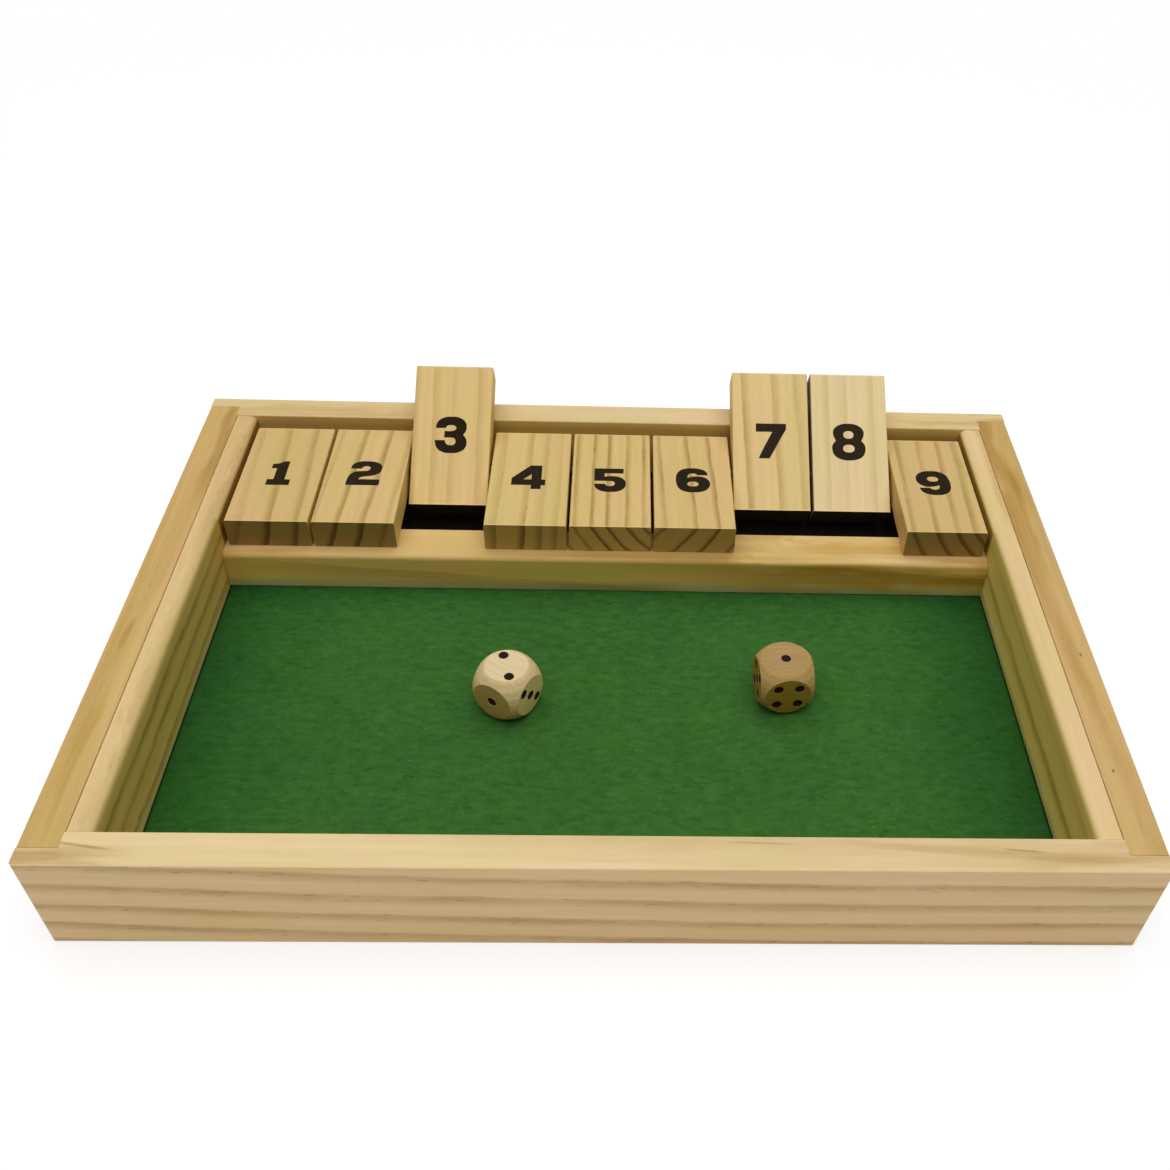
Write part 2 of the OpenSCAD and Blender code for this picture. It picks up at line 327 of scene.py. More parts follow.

    # single streaks of resin or sapwood, and on the divider painted shade and painted highlights too: a
    # ragged lens round the line between their two ends
    for k, (face, first, last, width, keeps) in enumerate(streaks):
        across = axes.outputs[side if face == "top" else "Z"]
        centre = add(tree, "MapRange", {"clamp": False}, run, first[0], last[0], first[1], last[1])
        wander = add(tree, "MapRange", {}, ripple((0.12, 0.12, 0.035), 5.3 + k, 2.0), 0.3, 0.7, -0.6 * width,
                     0.6 * width)
        off = add(tree, "Math", SUM, add(tree, "Math", SUBTRACT, across, centre), wander)
        lens = add(tree, "MapRange", SMOOTH, add(tree, "Math", ABSOLUTE, off), 0.25 * width, width, 1.0, 0.0)
        fade = 0.35 * (last[0] - first[0])
        begins = add(tree, "MapRange", SMOOTH, run, first[0], first[0] + fade, 0.0, 1.0)
        stops = add(tree, "MapRange", SMOOTH, run, last[0] - fade, last[0], 1.0, 0.0)
        ragged = add(tree, "MapRange", {}, ripple((1.1, 1.1, 0.03), 6.1 + k, 2.0), 0.35, 0.6, 0.65, 1.0)
        for part in (begins, stops, ragged, on_face[face]):
            lens = add(tree, "Math", MULTIPLY, lens, part)
        colour = add(tree, "Mix", RGBA, lens, colour, add(tree, "VectorMath", MULTIPLY, colour, keeps))
    # straight bands of tone, and on the back rail, liners and divider painted light and shade
    for face, limits, keeps in bands:
        within = on_face[face]
        for name_of_axis, starts, full in limits:
            part = add(tree, "MapRange", SMOOTH, axes.outputs[name_of_axis], starts, full, 0.0, 1.0)
            within = add(tree, "Math", MULTIPLY, within, part)
        colour = add(tree, "Mix", RGBA, within, colour, add(tree, "VectorMath", MULTIPLY, colour, keeps))

    # end grain drinks the lacquer, so it is darker and its rings are sharper
    cut = add(tree, "Mix", RGBA, late_part, linear("#8d7238"), linear("#523b16"))
    # each end's tone is scaled by ends; on the raised tiles this paints the back end near black as shade
    cut = add(tree, "VectorMath", SCALE, cut,
              Scale=add(tree, "MapRange", {}, signed.outputs[length], -0.5, 0.5, *ends))
    pores = add(tree, "MapRange", {}, ripple((5, 5, 0.3), 1.1, 2.0), 0.3, 0.7, 0.85, 1.1)
    cut = add(tree, "VectorMath", SCALE, cut, Scale=pores)
    colour = add(tree, "Mix", RGBA, end, colour, cut)

    # a thin satin lacquer: the fibres and rings stand a few hundredths of a mm, and cut ends are rougher
    shine = add(tree, "MapRange", {}, fibres, 0.2, 0.8, 0.62, 0.50)
    shine = add(tree, "Math", MULTIPLY_ADD, end, 0.15, shine)
    relief = add(tree, "Math", MULTIPLY_ADD, late_part, 0.35, fibres)
    relief = add(tree, "Math", SUBTRACT, relief, dashes)
    bump = add(tree, "Bump", {}, Strength=0.35, Distance=0.00006, Height=relief)
    surface = add(tree, "BsdfPrincipled", {}, Base_Color=colour, Roughness=shine, Specular_IOR_Level=0.2,
                  Normal=bump)
    add(tree, "OutputMaterial", {}, surface)
    return made


def finish_with(node, made):
    """Gives a CAD node's whole surface one material."""
    slots = frame["nodes"][node].data.materials
    for k in range(len(slots)):
        slots[k] = made
    if not slots:
        slots.append(made)


front_stick = section_of("front_rail", "X")
finish_with("front_rail", pine(
    "lacquered_pine_front", "X", front_stick, (-132, -120),
    [(front_stick.near, z, 1.0) for z in (2.6, 10.8, 19.3, 27.9)], "#e1c897", "#bfa06c", 2.1,
    slope=(0, -0.0265), bow=0.00012, rise=3.6, fall=1.3, flecks=(0.12, 0.85), sway=0.8, waves=0.8,
    # painted light on the outer face, and an amber painted shade on the inner face
    low_side=(1.12, 1.05, 1.0), high_side=(1.0, 0.93, 0.62), streaks=(
        ("top", (44, -88.9), (150, -96.8), 1.7, (0.84, 0.80, 0.72)),
        ("top", (97, -91.5), (110, -92.6), 0.45, (0.62, 0.56, 0.45)),
        ("top", (28, -90.2), (51, -91.0), 0.5, (0.80, 0.76, 0.68)),
        ("top", (-137, -91.2), (-115, -94.0), 0.6, (0.62, 0.56, 0.46)),
        ("top", (-158, -96.5), (-106, -94.5), 3.4, (0.80, 0.74, 0.62)),
        ("top", (96, -95.5), (160, -94.0), 3.4, (0.84, 0.78, 0.66)))))

# Back rail: the same stick turned round, rabbeted and glued in the same way. The raised tiles lean on its
# inner top edge. Just below that edge its inner face is painted pale as a highlight, and further down it has
# an amber painted shade; its outer back face is painted lighter.
back_stick = section_of("back_rail", "X")
finish_with("back_rail", pine(
    "lacquered_pine_back", "X", back_stick, (135, -110),
    [(back_stick.far, z, 0.9) for z in (6.0, 14.5, 22.0, 30.5)], "#d8be8a", "#bf9f68", 7.4, slope=(0, 0.012),
    # an amber painted shade on the inner face, and painted light on the outer back face
    rise=3.6, fall=1.2, flecks=(0.3, 0.8), low_side=(1.04, 0.89, 0.44), high_side=(1.18, 1.13, 1.15),
    # a painted highlight just below the inner top edge
    turn=(0.8, 0.99), bands=(("low", (("Z", 29.5, 33.4),), (1.32, 1.32, 1.6)),), streaks=(
        ("top", (-45, 92.5), (60, 92.0), 4.0, (1.01, 1.04, 1.14)),
        ("top", (-160, 90.5), (-70, 95.5), 2.5, (0.87, 0.84, 0.76)),
        ("top", (94, 91.5), (156, 94.0), 3.0, (0.80, 0.78, 0.72)))))

# Side rails: plain pine sticks between the tongues of the front and back rails, glued there. Their tops are
# more orange, with long resin streaks towards the back corners, and the right one has two small dark specks.
left_stick = section_of("left_rail", "Y")
finish_with("left_rail", pine(
    "lacquered_pine_left", "Y", left_stick, (-190, -75),
    [(left_stick.near, z, 1.0) for z in (5.0, 13.5, 21.0, 28.0)], "#c8a566", "#b4914f", 11.3,
    # painted light on both upright faces: lighter outside, and lighter and bluer still at the seam inside
    slope=(0.01, 0.02), rise=3.2, fall=1.4, contrast=0.6, flecks=(0.7, 1.0), low_side=(1.15, 1.15, 1.3),
    high_side=(1.28, 1.42, 2.1), turn=(0.8, 0.99), streaks=(
        ("top", (-96, -134.2), (-34, -134.6), 2.2, (0.86, 0.80, 0.62)),
        ("top", (-74, -131.2), (18, -131.4), 1.8, (1.09, 1.12, 1.28)),
        ("top", (30, -131.0), (116, -132.2), 2.6, (0.72, 0.66, 0.48)),
        ("top", (-92, -138.6), (92, -138.4), 1.6, (0.93, 0.90, 0.85)),
        ("top", (-30, -135.8), (-12, -135.2), 1.4, (0.82, 0.74, 0.56)))))
right_stick = section_of("right_rail", "Y")
finish_with("right_rail", pine(
    "lacquered_pine_right", "Y", right_stick, (200, -80),
    [(right_stick.far, z, 1.0) for z in (4.0, 12.0, 20.5, 29.0)], "#caa86b", "#b08b49", 15.8,
    # painted light on both upright faces: lighter and bluer at the seam inside, and lighter outside
    slope=(-0.012, 0.015), rise=3.2, fall=1.4, contrast=0.6, flecks=(0.7, 1.0), low_side=(1.2, 1.3, 1.7),
    high_side=(1.15, 1.15, 1.3), turn=(0.8, 0.99), streaks=(
        ("top", (-26, 132.0), (200, 132.2), 4.6, (0.72, 0.62, 0.36)),
        ("top", (0, 135.6), (190, 136.4), 3.2, (0.88, 0.82, 0.62)),
        ("top", (-60, 138.6), (190, 138.6), 1.7, (0.84, 0.90, 0.84)),
        ("top", (-56, 134.6), (10, 134.4), 1.6, (0.90, 0.86, 0.74)),
        ("top", (-24.8, 136.4), (-22.6, 136.2), 0.6, (0.42, 0.34, 0.25)),
        ("top", (-67.6, 133.5), (-65.8, 133.5), 0.5, (0.36, 0.30, 0.25)))))

# Liners: pine strips glued inside the side rails, nearly flush, with a rounded inner top edge. The rod for
# the tiles ends in them. One or two dark rings run the length of their inner faces, which are paler towards
# the foot. Those faces are painted amber as shade and their rounded edges darker as shade; at the foot beside
# the felt they are painted greener, as the felt's reflection, and beside the tiles a painted shadow lies in
# the gap below a painted highlight just under the top edge.
# painted light shared by both liners: the felt's green reflection at the foot, and a painted highlight just
# below the top edge beside the tiles
LINER_PAINTED_LIGHT = (("side", (("Z", 13.5, 11.0),), (0.88, 1.08, 1.35)),
               ("side", (("Y", 32.0, 33.0), ("Z", 31.3, 32.2)), (1.25, 1.22, 1.70)))
left_strip = section_of("left_liner", "Y")
finish_with("left_liner", pine(
    "lacquered_pine_left_liner", "Y", left_strip, (-95, -60),
    [(left_strip.far, 19.9, 1.0), (left_strip.far, 27.3, 1.0), (left_strip.far - 1.4, left_strip.top, 0.45)],
    "#d9bc86", "#a58a4c", 19.5, rise=2.8, fall=1.5, sway=0.5, waves=2.0, high_side=(1.02, 1.02, 0.55),
    turn=(0.5, 0.88), worn=0.0, edge=(0.70, 0.73, 0.88), bands=LINER_PAINTED_LIGHT + (
        ("side", (("Z", 16.5, 12.5),), (1.16, 1.14, 1.16)),
        ("side", (("Y", 14.0, 30.0),), (1.02, 0.89, 0.80)),
        # a painted shadow in the gap beside the tiles
        ("side", (("Y", 32.0, 33.0), ("Z", 31.9, 31.1)), (0.42, 0.36, 0.24)),
        ("top", (("Y", -20, 80),), (0.93, 0.89, 0.80)))))
right_strip = section_of("right_liner", "Y")
finish_with("right_liner", pine(
    "lacquered_pine_right_liner", "Y", right_strip, (95, -60),
    [(right_strip.near, 18.7, 1.0), (right_strip.near, 28.4, 0.45)],
    "#dcc08a", "#ab8f50", 23.1, rise=2.8, fall=1.5, sway=0.5, waves=2.0, low_side=(1.13, 1.15, 0.6),
    turn=(0.5, 0.88), worn=0.0, edge=(0.66, 0.69, 0.80), bands=LINER_PAINTED_LIGHT + (
        ("side", (("Z", 16.5, 12.5),), (1.14, 1.12, 1.14)),
        # a painted shadow in the gap beside the tiles
        ("side", (("Y", 32.0, 33.0), ("Z", 31.9, 31.1)), (0.48, 0.38, 0.24))),
    streaks=(("top", (20, 129.6), (120, 129.2), 1.6, (0.86, 0.80, 0.66)),)))

# Divider bar: a planed pine bar glued across the tray, with its front top edge rounded over. The lying tiles
# rest on its back half. One wide dark ring sweeps down its front to the right. Its upright faces are painted
# lighter and more amber, its rounded edge and its foot beside the felt are painted in shade, the foot with
# the felt's green in it, a strip of painted shade lies on its top in front of the tiles, and towards the
# right a painted highlight runs along the rounded front edge.
bar = section_of("divider_bar", "X")
finish_with("divider_bar", pine(
    "lacquered_pine_divider", "X", bar, (45, -150), [(bar.near, 20.5, 0.8), (bar.near, 36.0, 0.4)],
    "#d1b071", "#b08f4e", 27.9, slope=(0, -0.075), middle=62, rise=9, fall=0.6, reach=12, flecks=(0.3, 0.6),
    # both upright faces painted lighter and more amber, as painted light
    low_side=(1.24, 1.26, 0.82), high_side=(1.24, 1.26, 0.82), turn=(0.62, 0.94), worn=0.0,
    # painted shade on the rounded edge, and at the foot a painted shade with the felt's green in it
    edge=(0.80, 0.79, 0.90), bands=(("low", (("Z", 13.0, 10.6),), (0.70, 0.95, 1.40)),), streaks=(
        ("low", (12, 16.5), (190, 12.0), 7.5, (0.75, 0.63, 0.31)),
        ("low", (-28, 10.0), (30, 10.4), 2.6, (0.80, 0.80, 0.70)),
        # a painted highlight along the top of the front face
        ("low", (84, 21.0), (160, 19.0), 2.0, (1.10, 1.10, 1.0)),
        ("top", (46, 34.2), (128, 36.0), 3.4, (0.84, 0.75, 0.50)),
        # a painted highlight along the rounded front edge
        ("top", (72, 30.4), (112, 30.2), 1.5, (1.10, 1.18, 1.30)),
        # a strip of painted shade in front of the tiles
        ("top", (-60, 29.4), (96, 29.6), 2.2, (0.84, 0.78, 0.54)),
        ("top", (30, 38.6), (68, 38.8), 3.0, (1.13, 1.17, 1.2)),
        # the same painted shade in front of the tiles, at both ends
        ("top", (-140, 29.4), (-92, 29.6), 2.0, (0.86, 0.74, 0.62)),
        ("top", (98, 29.0), (150, 29.2), 2.2, (0.82, 0.70, 0.58)))))


# Base board: thin fibreboard let into grooves in the rails, painted matt black. It shows only as black depth
# under the raised tiles, and from below.
def painted_board(name):
    """Fibreboard under one coat of matt black: the pressed fibres still show as a faint mottled relief."""
    made, tree = new_material(name)
    where = add(tree, "VectorMath", SCALE, add(tree, "TexCoord", {}).outputs["Object"], Scale=MM)
    clumps = add(tree, "TexNoise", {}, where, Scale=0.6, Detail=4.0, Roughness=0.6)
    strands = add(tree, "TexVoronoi", {"feature": "DISTANCE_TO_EDGE"}, where, Scale=0.45)
    mottle = add(tree, "MapRange", {}, clumps, 0.3, 0.7, 0.0, 1.0)
    colour = add(tree, "Mix", RGBA, mottle, linear("#141210"), linear("#211d19"))
    shine = add(tree, "MapRange", {}, clumps, 0.3, 0.7, 0.62, 0.8)
    relief = add(tree, "Math", MULTIPLY_ADD, strands, 0.4, clumps)
    bump = add(tree, "Bump", {}, Strength=0.4, Distance=0.0001, Height=relief)
    surface = add(tree, "BsdfPrincipled", {}, Base_Color=colour, Roughness=shine, Specular_IOR_Level=0.3,
                  Normal=bump)
    add(tree, "OutputMaterial", {}, surface)
    return made


finish_with("base_board", painted_board("matt_black_fibreboard"))

# Felt: a 2 mm sheet of green wool felt glued flat to the base board between the rails, liners and divider. It
# has no weave: short matted fibres give it a soft mottle, and its cut edges stand a little rough.
FELT_LOW, FELT_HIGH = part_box("felt_lining")


def felt_sheet(low, high, step):
    """A closed sheet whose top rises and falls by less than 0.1 mm and rounds off at its cut edges."""
    nap_height = 0.00004
    wave_height = 0.00005
    pressed = 0.00010
    edge_drop = 0.0007
    edge_reach = 0.0006
    count_x = round((high.x - low.x) / step)
    count_y = round((high.y - low.y) / step)
    mesh = bmesh.new()
    rows = []
    for j in range(count_y + 1):
        row = []
        for i in range(count_x + 1):
            x = low.x + (high.x - low.x) * i / count_x
            y = low.y + (high.y - low.y) * j / count_y
            edge = min(x - low.x, high.x - x, y - low.y, high.y - y)
            nap = noise.fractal(Vector((x, y, 0)) * 420, 0.9, 2.0, 3)
            wave = noise.noise(Vector((x, y, 0.3)) * 28)
            drop = edge_drop * math.exp(-edge / edge_reach)
            z = high.z - pressed + nap_height * nap + wave_height * wave - drop
            row.append(mesh.verts.new((x, y, min(z, high.z))))
        rows.append(row)
    for j in range(count_y):
        for i in range(count_x):
            mesh.faces.new((rows[j][i], rows[j][i + 1], rows[j + 1][i + 1], rows[j + 1][i]))
    rim = rows[0] + [r[-1] for r in rows[1:]] + rows[-1][-2::-1] + [r[0] for r in rows[-2:0:-1]]
    under = [mesh.verts.new((v.co.x, v.co.y, low.z)) for v in rim]
    for k in range(len(rim)):
        n = (k + 1) % len(rim)
        mesh.faces.new((rim[n], rim[k], under[k], under[n]))
    mesh.faces.new(under[::-1])
    data = bpy.data.meshes.new("felt")
    mesh.to_mesh(data)
    mesh.free()
    data.shade_smooth()
    piece = bpy.data.objects.new("felt", data)
    scene.collection.objects.link(piece)
    return piece


def wool_felt(name, low, high):
    """Matted wool: dull green clumps, pulled out sideways, with a few paler fibres standing up."""
    made, tree = new_material(name)
    where = add(tree, "VectorMath", SCALE, add(tree, "TexCoord", {}).outputs["Object"], Scale=MM)
    slow = add(tree, "TexNoise", {}, where, Scale=0.035, Detail=3.0)
    blotch = add(tree, "TexNoise", {}, where, Scale=0.16, Detail=3.0, Roughness=0.6)
    pulled = add(tree, "VectorMath", MULTIPLY, where, (0.6, 1.25, 1))
    clumps = add(tree, "TexNoise", {}, pulled, Scale=0.42, Detail=4.0, Roughness=0.62)

    # fibres about 1 by 0.3 mm, some lying across and some lying back, bent by the clumps
    bent = add(tree, "VectorMath", SCALE, clumps.outputs["Color"], Scale=3.0)
    bent = add(tree, "VectorMath", SUM, where, bent)
    one_way = add(tree, "TexNoise", {}, add(tree, "VectorMath", MULTIPLY, bent, (1.0, 3.4, 2)), Scale=1.0,
                  Detail=2.0)
    other_way = add(tree, "TexNoise", {}, add(tree, "VectorMath", MULTIPLY, bent, (3.8, 1.1, 2)), Scale=1.0,
                    Detail=2.0)
    fibres = add(tree, "Math", LARGER, one_way, other_way)
    hairs = add(tree, "MapRange", {}, fibres, 0.5, 0.78, 0.0, 0.5)
    flecks = add(tree, "TexNoise", {}, add(tree, "VectorMath", MULTIPLY, where, (0.55, 1.1, 1)), Scale=1.0,
                 Detail=1.0)
    flecks = add(tree, "MapRange", SMOOTH, flecks, 0.68, 0.78, 0.0, 0.4)
    base = add(tree, "MapRange", {}, clumps, 0.32, 0.68, 0.0, 1.0)
    colour = add(tree, "Mix", RGBA, base, linear("#2f5a22"), linear("#3e6a2f"))
    colour = add(tree, "Mix", RGBA, hairs, colour, linear("#467237"))
    colour = add(tree, "Mix", RGBA, flecks, colour, linear("#5f8c4d"))

    # the dye took unevenly, in patches of 13 mm that are a little yellower or bluer
    dyed = add(tree, "VectorMath", SUM, where, (70, 30, 0))
    dyed = add(tree, "TexNoise", {}, dyed, Scale=0.075, Detail=2.0)
    dyed = add(tree, "MapRange", {}, dyed, 0.38, 0.62, 0.0, 1.0)
    hue = add(tree, "Mix", RGBA, dyed, (1.04, 1.01, 0.93, 1), (0.97, 0.99, 1.07, 1))
    colour = add(tree, "VectorMath", MULTIPLY, colour, hue)

    # painted shade along the crease lines between the clumps, 4 by 1 mm, and slow changes of tone over 6 and
    # 30 mm
    crease_shade = add(tree, "TexNoise", {}, add(tree, "VectorMath", MULTIPLY, bent, (0.24, 0.9, 1)), Scale=1.0,
                  Detail=2.0, Roughness=0.6)
    crease_shade = add(tree, "MapRange", SMOOTH, crease_shade, 0.60, 0.69, 0.0, 0.9)
    crease_shaded = add(tree, "VectorMath", MULTIPLY, colour, (0.68, 0.76, 0.68))
    colour = add(tree, "Mix", RGBA, crease_shade, colour, crease_shaded)
    tone = add(tree, "Math", MULTIPLY, add(tree, "MapRange", {}, slow, 0.35, 0.65, 0.95, 1.02),
               add(tree, "MapRange", {}, blotch, 0.35, 0.65, 0.96, 1.05))
    colour = add(tree, "VectorMath", SCALE, colour, Scale=tone)

    # painted shade towards the left and right walls and towards the divider, where the walls shade the felt
    spread = add(tree, "SeparateXYZ", {}, add(tree, "VectorMath", ABSOLUTE, where)).outputs["X"]
    depth = add(tree, "SeparateXYZ", {}, where).outputs["Y"]
    rim = add(tree, "MapRange", SMOOTH, spread, 78, 118, 0.0, 1.0)
    wall_shaded = add(tree, "VectorMath", MULTIPLY, colour, (0.58, 0.72, 0.76))
    colour = add(tree, "Mix", RGBA, rim, colour, wall_shaded)
    rim = add(tree, "Math", POWER, add(tree, "MapRange", {}, depth, 2.0, 25.0, 0.0, 1.0), 2.2)
    wall_shaded = add(tree, "VectorMath", MULTIPLY, colour, (0.62, 0.74, 0.78))
    colour = add(tree, "Mix", RGBA, rim, colour, wall_shaded)

    # the cut edges sink into the shadow of the narrow gap round the felt
    edge = 0.9
    cut = add(tree, "MapRange", {}, spread, high.x * MM - edge, high.x * MM - 0.1, 0.0, 0.8)
    for start, stop in ((high.y * MM - edge, high.y * MM), (low.y * MM + edge, low.y * MM)):
        cut = add(tree, "Math", LARGER, cut, add(tree, "MapRange", {}, depth, start, stop, 0.0, 0.8))
    colour = add(tree, "Mix", RGBA, cut, colour, linear("#0b1a08"))
    relief = add(tree, "Math", MULTIPLY_ADD, clumps, 0.8, fibres)
    bump = add(tree, "Bump", {}, Strength=0.6, Distance=0.00015, Height=relief)
    surface = add(tree, "BsdfPrincipled", {}, Base_Color=colour, Roughness=1.0, Specular_IOR_Level=0.0,
                  Normal=bump)
    add(tree, "OutputMaterial", {}, surface)
    return made


felt = felt_sheet(FELT_LOW, FELT_HIGH, step=0.001)
felt.data.materials.append(wool_felt("green_wool_felt", FELT_LOW, FELT_HIGH))
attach(felt, "tray")
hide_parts("felt_lining")


# Pivot rod: one drawn steel rod, 4 mm thick, through all nine tiles and into the liners. It is browned with
# age, and shows only as a dark line in the gaps between the tiles.
def drawn_steel(name):
    """Browned drawn steel: a thin dull oxide with finer scratches along the rod."""
    made, tree = new_material(name)
    where = add(tree, "VectorMath", MULTIPLY, add(tree, "TexCoord", {}).outputs["Object"], (60, 9000, 9000))
    lines = add(tree, "TexNoise", {}, where, Scale=1.0, Detail=3.0)
    colour = add(tree, "Mix", RGBA, lines, linear("#2b2723"), linear("#4a443d"))
    shine = add(tree, "MapRange", {}, lines, 0.3, 0.7, 0.45, 0.6)
    bump = add(tree, "Bump", {}, Strength=0.2, Distance=0.00002, Height=lines)
    surface = add(tree, "BsdfPrincipled", {}, Base_Color=colour, Roughness=shine, Metallic=1.0, Normal=bump)
    add(tree, "OutputMaterial", {}, surface)
    return made


finish_with("pivot_rod", drawn_steel("browned_drawn_steel"))

# Number tiles: nine pine blocks, each sawn from another stick and turning on the steel rod, so each has rings
# of its own. The stripes on the faces and the slanted lines on the ends are the same rings.
FLIPS = {joint["child"]: joint for joint in frame["joints"] if joint["type"] == "hinge"}
TILE_LOW, TILE_HIGH = (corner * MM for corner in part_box("tile_5"))
TILE_W = round(TILE_HIGH.x - TILE_LOW.x, 4)
HALF_THICK = round((TILE_HIGH.z - TILE_LOW.z) / 2, 4)
TILE_FRONT = round(TILE_LOW.y, 4)
TILE_BACK = round(TILE_HIGH.y, 4)
TILE_MIDDLE = (TILE_FRONT + TILE_BACK) / 2
# for each tile: the pith from the tile's middle, the drift for each mm towards the back, the stripes on its
# shown face as distance from the left edge and strength, the early and late wood, a ring's rise and fall, and
# how light its front and back ends are; the back ends of the raised tiles are painted near black, as painted
# shade where they face down into the dark under the tiles
TILE_WOOD = {
    1: {"pith": (-62, 14), "drift": -0.045, "stripes": ((3.6, 0.45), (12.8, 1.0), (21.8, 0.8)),
        "early": "#cbad70", "late": "#a58649", "rise": 2.8, "fall": 1.0, "ends": (1.15, 1.4)},
    2: {"pith": (-56, 18), "drift": 0.045, "stripes": ((1.6, 0.5), (9.6, 1.0), (17.8, 1.0), (25.2, 0.5)),
        "early": "#cfb273", "late": "#9f8143", "rise": 2.2, "fall": 0.8, "ends": (1.15, 1.4)},
    3: {"pith": (70, -8), "drift": 0.005, "stripes": ((6.6, 0.6), (12.6, 0.45), (21.6, 0.7)),
        "early": "#dcbc7c", "late": "#bb9956", "rise": 3.4, "fall": 0.5, "ends": (1.6, 0.1)},
    4: {"pith": (-75, 3), "drift": 0.006, "stripes": ((3.9, 0.6), (13.2, 0.9), (18.6, 0.6), (23.5, 0.5)),
        "early": "#d0b475", "late": "#ac8f48", "rise": 3.0, "fall": 0.6, "ends": (1.85, 1.85)},
    5: {"pith": (44, 30), "drift": 0.005,
        "stripes": ((1.2, 0.6), (6.8, 1.0), (11.8, 1.0), (18.0, 0.9), (23.4, 0.8)),
        "early": "#d0b372", "late": "#937437", "rise": 1.5, "fall": 0.6, "ends": (2.0, 2.0)},
    6: {"pith": (-46, 30), "drift": -0.03, "stripes": ((2.9, 0.7), (12.8, 0.9), (20.3, 1.0)),
        "early": "#cfb074", "late": "#967737", "rise": 1.7, "fall": 0.6, "ends": (1.75, 1.75)},
    7: {"pith": (60, -20), "drift": 0.045, "stripes": ((4.4, 1.0), (14.9, 0.75), (22.8, 0.6)),
        "early": "#dec283", "late": "#b59650", "rise": 3.2, "fall": 0.5, "ends": (1.6, 0.1)},
    8: {"pith": (-85, -8), "drift": 0.0, "stripes": ((6.1, 0.7), (12.4, 0.45), (21.6, 0.7)),
        "early": "#e3cb98", "late": "#c3a872", "rise": 2.6, "fall": 0.8, "ends": (1.6, 0.1)},
    9: {"pith": (45, 27), "drift": 0.03, "stripes": ((2.6, 0.8), (10.2, 0.8), (16.8, 0.9), (22.6, 0.8)),
        "early": "#caad70", "late": "#9e7f43", "rise": 2.0, "fall": 0.8, "ends": (1.3, 1.4)},
}
# painted light and shade on the tiles' upright sides: an amber painted shade on all, paler where the light
# reaches beside a raised tile, and dark on 7 and 8, which shade each other
COMMON_SIDE_PAINTED_SHADE = (1.0, 0.95, 0.7)
NEAR_SIDE_PAINTED_SHADING = {8: (0.40, 0.36, 0.30), 9: (1.12, 1.04, 1.00)}
FAR_SIDE_PAINTED_SHADING = {2: (1.02, 1.02, 0.90), 7: (0.40, 0.36, 0.30)}


def raised_by(tile):
    """How far a tile has been turned back, in radians: a raised tile's joint runs from that turn to 0."""
    return math.radians(-min(FLIPS[tile]["range_deg"]))


for n, wood in TILE_WOOD.items():
    tile = f"tile_{n}"
    rod = [v * MM for v in FLIPS[tile]["pos_m"]]
    raised = raised_by(tile)
    left_edge = rod[0] - TILE_W / 2
    lying = Section(left_edge, rod[2] - HALF_THICK, left_edge + TILE_W, rod[2] + HALF_THICK)
    pith_x, pith_z = wood["pith"]
    shown_face = lying.bottom if raised else lying.top
    years = [(left_edge + stripe, shown_face, strength) for stripe, strength in wood["stripes"]]
    finish_with(tile, pine(
        f"lacquered_pine_{tile}", "Y", lying, (rod[0] + pith_x, rod[2] + pith_z), years, wood["early"],
        wood["late"], 31.0 + 4.7 * n, slope=(wood["drift"], 0), middle=TILE_MIDDLE, rise=wood["rise"],
        fall=wood["fall"], waves=0.55, flecks=(0.35, 0.5) if raised else (0.8, 0.8), sway=0.55,
        # tips gives the end edges a painted highlight, and the side tints on the next line are painted light
        # and shade
        tipped=(rod, raised) if raised else None, tips=(TILE_FRONT, TILE_BACK), reach=3.0,
        low_side=NEAR_SIDE_PAINTED_SHADING.get(n, COMMON_SIDE_PAINTED_SHADE), high_side=FAR_SIDE_PAINTED_SHADING.get(n, COMMON_SIDE_PAINTED_SHADE), ends=wood["ends"]))

# Digits: heavy black sans numbers, pad printed on both faces of every tile, so that a tile reads the same way
# up lying and raised. The ink is a thin film, nearly matt.
INK_FILM = 0.05
INK_LIFT = 0.004
